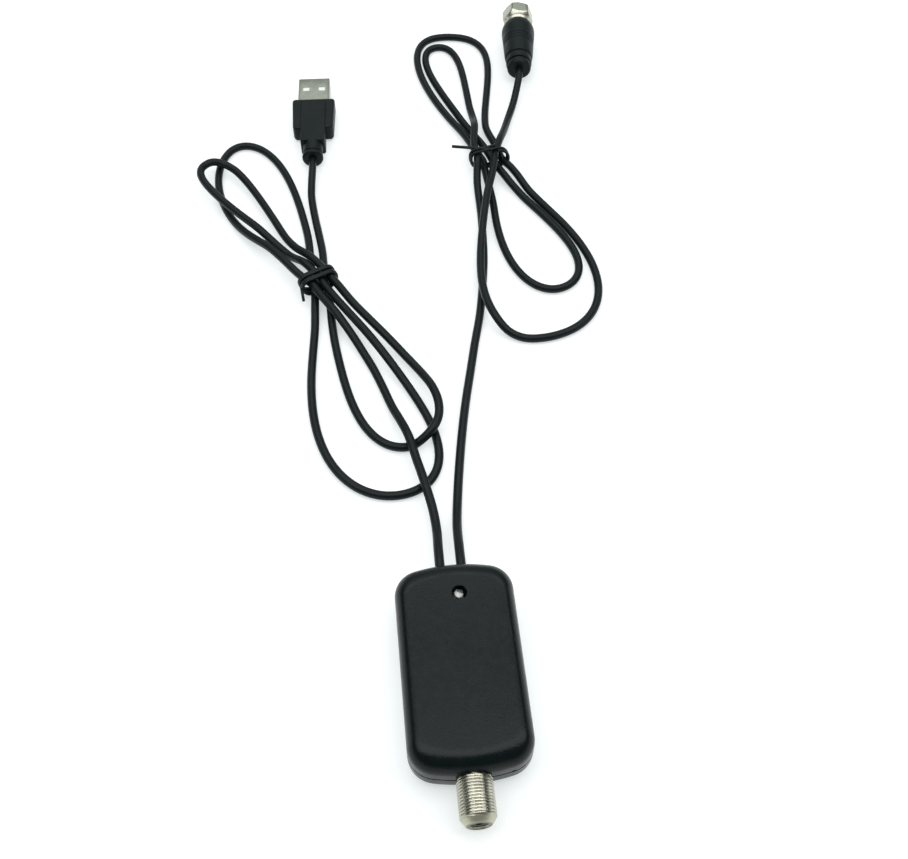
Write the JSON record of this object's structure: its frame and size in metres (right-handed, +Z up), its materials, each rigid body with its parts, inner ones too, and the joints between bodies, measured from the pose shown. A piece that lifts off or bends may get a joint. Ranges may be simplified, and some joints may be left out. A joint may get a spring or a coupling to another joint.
{
  "type": "tv signal amplifier",
  "caption": "Small black aerial signal booster with a threaded F socket, an indicator lamp and tied cords to a USB plug and a screw-on F plug.",
  "frame": {"origin": "middle of the flat underside of the case", "axes": "+Z up, +Y from the F socket's end of the case to the end where the cords leave, +X to the right seen from the socket's end"},
  "size_m": [0.1386, 0.3264, 0.0155],
  "materials": {
    "case": "fine grained",
    "screw": "satin",
    "board": "solder mask",
    "nickel": "bright nickel plate",
    "white_plastic": "smooth",
    "contact": "plated",
    "lens": "clear",
    "component": "moulded",
    "ceramic": "fired",
    "usb_steel": "nickel plated",
    "moulding": "satin",
    "tie": "satin",
    "cord": "satin PVC"
  },
  "bodies": {
    "amplifier": {"top_shell": "case", "bottom_shell": "case", "case_screw_a": "screw", "case_screw_b": "screw", "pcb": "board", "f_socket_body": "nickel", "f_socket_insulator": "component", "f_socket_contact": "contact", "indicator_led": "lens", "led_leads": "nickel", "rf_transistor": "component", "choke_inductor": "component", "electrolytic_capacitor": "component", "chip_capacitors": "ceramic", "chip_resistors": "component", "usb_shell": "usb_steel", "usb_insulator": "white_plastic", "usb_contacts": "contact", "usb_overmould": "moulding", "f_plug_boot": "moulding", "f_plug_ferrule": "nickel", "f_plug_dielectric": "white_plastic", "f_plug_pin": "contact", "usb_tie": "tie", "coax_tie": "tie", "usb_cord_lead": "cord", "usb_cord_hank": "cord", "usb_cord_tail": "cord", "coax_cord_lead": "cord", "coax_cord_hank": "cord", "coax_cord_tail": "cord"},
    "plug_nut": {"f_plug_nut": "nickel"}
  },
  "joints": [
    {"name": "nut_turn", "type": "hinge", "parent": "amplifier", "child": "plug_nut", "pos_m": [0.0484, 0.2485, 0.0066], "axis": [0.1132, 0.9936, 0], "continuous": true}
  ]
}
